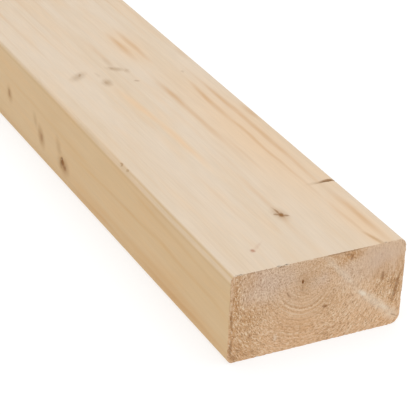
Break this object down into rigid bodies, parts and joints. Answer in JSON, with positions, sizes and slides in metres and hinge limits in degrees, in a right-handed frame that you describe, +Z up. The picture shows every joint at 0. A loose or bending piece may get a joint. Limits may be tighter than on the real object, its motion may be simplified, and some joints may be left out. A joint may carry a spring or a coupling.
{
  "type": "timber lumber plank",
  "caption": "Straight length of planed softwood with rounded arrises and square sawn ends, for studs, joists, rails and general framing.",
  "frame": {"origin": "centre of the wide face that the plank lies on, midway between the sawn ends", "axes": "+X along the length, towards the sawn end that has the edge split near it; +Y across the wide face, from the front edge to the back edge; +Z up through the thickness"},
  "size_m": [2.4, 0.09, 0.045],
  "materials": {
    "softwood": "planed faces and rough sawn ends, untreated, no coating"
  },
  "bodies": {
    "root": {"plank": "softwood"}
  },
  "joints": []
}
